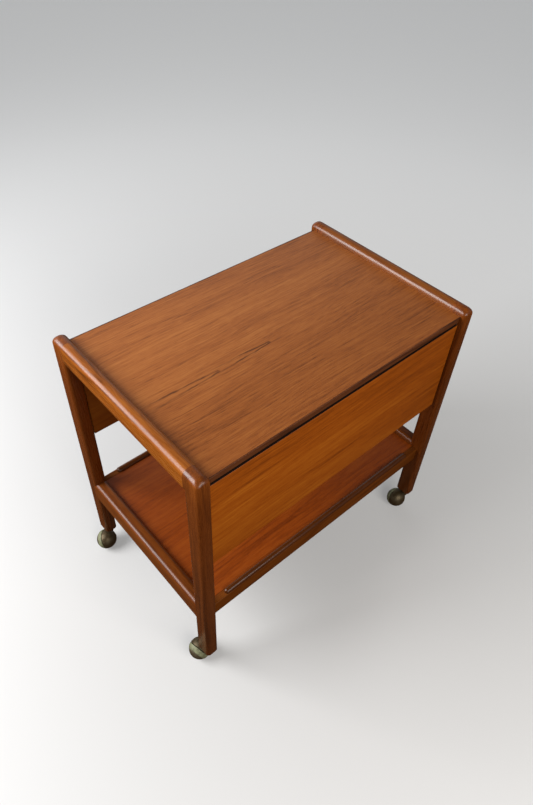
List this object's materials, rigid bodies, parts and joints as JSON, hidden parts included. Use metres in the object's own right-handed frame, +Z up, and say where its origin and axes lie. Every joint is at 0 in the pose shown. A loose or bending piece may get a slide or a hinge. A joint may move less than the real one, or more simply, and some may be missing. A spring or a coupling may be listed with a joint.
{
  "type": "drop leaf trolley",
  "caption": "Teak drop-leaf trolley: raised end rails round a veneered top, hinged side leaves on sliding bearers, a beaded lower shelf and swivelling ball castors.",
  "frame": {"origin": "on the floor, under the middle of the trolley", "axes": "+X along the length, from the left end frame to the right one; -Y towards the front; +Z up"},
  "size_m": [0.7646, 0.454, 0.6739],
  "materials": {
    "post_teak": "dark teak, satin varnish",
    "rail_teak": "teak, satin varnish",
    "top_veneer": "teak veneer, satin varnish",
    "leaf_veneer": "teak veneer, satin varnish",
    "shelf_veneer": "red teak veneer, satin varnish",
    "dark_lipping": "dark stained solid edge, satin varnish",
    "bearer_beech": "bare beech",
    "steel": "plain steel",
    "bronze": "bronze plating, dulled",
    "wheel_dome": "bronze plating, dark",
    "tyre_rubber": "worn grey-green rubber"
  },
  "bodies": {
    "frame": {"post_front_left": "post_teak", "castor_socket_front_left": "steel", "pivot_pin_front_left": "steel", "bearer_channel_front_left": "bearer_beech", "post_front_right": "post_teak", "castor_socket_front_right": "steel", "pivot_pin_front_right": "steel", "bearer_channel_front_right": "bearer_beech", "post_back_left": "post_teak", "castor_socket_back_left": "steel", "pivot_pin_back_left": "steel", "bearer_channel_back_left": "bearer_beech", "post_back_right": "post_teak", "castor_socket_back_right": "steel", "pivot_pin_back_right": "steel", "bearer_channel_back_right": "bearer_beech", "top_rail_left": "rail_teak", "lower_rail_left": "rail_teak", "top_batten_left": "bearer_beech", "top_rail_right": "rail_teak", "lower_rail_right": "rail_teak", "top_batten_right": "bearer_beech", "lipping_front": "dark_lipping", "shelf_rail_front": "rail_teak", "lipping_back": "dark_lipping", "shelf_rail_back": "rail_teak", "table_top": "top_veneer", "shelf_panel": "shelf_veneer"},
    "leaf_front": {"leaf_front": "leaf_veneer", "pivot_plate_front_left": "steel", "pivot_plate_front_right": "steel"},
    "leaf_back": {"leaf_back": "leaf_veneer", "pivot_plate_back_left": "steel", "pivot_plate_back_right": "steel"},
    "bearer_front_left": {"bearer_front_left": "bearer_beech", "bearer_stop_front_left": "steel"},
    "bearer_front_right": {"bearer_front_right": "bearer_beech", "bearer_stop_front_right": "steel"},
    "bearer_back_left": {"bearer_back_left": "bearer_beech", "bearer_stop_back_left": "steel"},
    "bearer_back_right": {"bearer_back_right": "bearer_beech", "bearer_stop_back_right": "steel"},
    "castor_front_left": {"castor_hood_front_left": "bronze", "castor_axle_front_left": "steel"},
    "wheel_front_left": {"castor_wheel_front_left": "wheel_dome", "castor_tyre_front_left": "tyre_rubber"},
    "castor_front_right": {"castor_hood_front_right": "bronze", "castor_axle_front_right": "steel"},
    "wheel_front_right": {"castor_wheel_front_right": "wheel_dome", "castor_tyre_front_right": "tyre_rubber"},
    "castor_back_left": {"castor_hood_back_left": "bronze", "castor_axle_back_left": "steel"},
    "wheel_back_left": {"castor_wheel_back_left": "wheel_dome", "castor_tyre_back_left": "tyre_rubber"},
    "castor_back_right": {"castor_hood_back_right": "bronze", "castor_axle_back_right": "steel"},
    "wheel_back_right": {"castor_wheel_back_right": "wheel_dome", "castor_tyre_back_right": "tyre_rubber"}
  },
  "joints": [
    {"name": "leaf_front_fold", "type": "hinge", "parent": "frame", "child": "leaf_front", "pos_m": [0, -0.20675, 0.64775], "axis": [-1, 0, 0], "range_deg": [0, 90]},
    {"name": "leaf_back_fold", "type": "hinge", "parent": "frame", "child": "leaf_back", "pos_m": [0, 0.20675, 0.64775], "axis": [1, 0, 0], "range_deg": [0, 90]},
    {"name": "bearer_front_left_slide", "type": "slide", "parent": "frame", "child": "bearer_front_left", "axis": [0, -1, 0], "range_m": [0, 0.2]},
    {"name": "bearer_front_right_slide", "type": "slide", "parent": "frame", "child": "bearer_front_right", "axis": [0, -1, 0], "range_m": [0, 0.2]},
    {"name": "bearer_back_left_slide", "type": "slide", "parent": "frame", "child": "bearer_back_left", "axis": [0, 1, 0], "range_m": [0, 0.2]},
    {"name": "bearer_back_right_slide", "type": "slide", "parent": "frame", "child": "bearer_back_right", "axis": [0, 1, 0], "range_m": [0, 0.2]},
    {"name": "castor_front_left_swivel", "type": "hinge", "parent": "frame", "child": "castor_front_left", "pos_m": [-0.3405, -0.2075, 0.055], "axis": [0, 0, 1], "continuous": true},
    {"name": "wheel_front_left_roll", "type": "hinge", "parent": "castor_front_left", "child": "wheel_front_left", "pos_m": [-0.34888, -0.1873, 0.025], "axis": [-0.9192, -0.1954, -0.342], "continuous": true},
    {"name": "castor_front_right_swivel", "type": "hinge", "parent": "frame", "child": "castor_front_right", "pos_m": [0.3405, -0.2075, 0.055], "axis": [0, 0, 1], "continuous": true},
    {"name": "wheel_front_right_roll", "type": "hinge", "parent": "castor_front_right", "child": "wheel_front_right", "pos_m": [0.31977, -0.20055, 0.025], "axis": [0.1308, 0.9305, -0.342], "continuous": true},
    {"name": "castor_back_left_swivel", "type": "hinge", "parent": "frame", "child": "castor_back_left", "pos_m": [-0.3405, 0.2075, 0.055], "axis": [0, 0, 1], "continuous": true},
    {"name": "wheel_back_left_roll", "type": "hinge", "parent": "castor_back_left", "child": "wheel_back_left", "pos_m": [-0.35809, 0.1945, 0.025], "axis": [-0.6872, 0.6409, -0.342], "continuous": true},
    {"name": "castor_back_right_swivel", "type": "hinge", "parent": "frame", "child": "castor_back_right", "pos_m": [0.3405, 0.2075, 0.055], "axis": [0, 0, 1], "continuous": true},
    {"name": "wheel_back_right_roll", "type": "hinge", "parent": "castor_back_right", "child": "wheel_back_right", "pos_m": [0.35738, 0.1936, 0.025], "axis": [0.7198, 0.604, -0.342], "continuous": true}
  ],
  "couplings": [
    {"joint": "bearer_front_left_slide", "follows": "leaf_front_fold", "m_per_rad": 0.1273},
    {"joint": "bearer_front_right_slide", "follows": "leaf_front_fold", "m_per_rad": 0.1273},
    {"joint": "bearer_back_left_slide", "follows": "leaf_back_fold", "m_per_rad": 0.1273},
    {"joint": "bearer_back_right_slide", "follows": "leaf_back_fold", "m_per_rad": 0.1273}
  ]
}
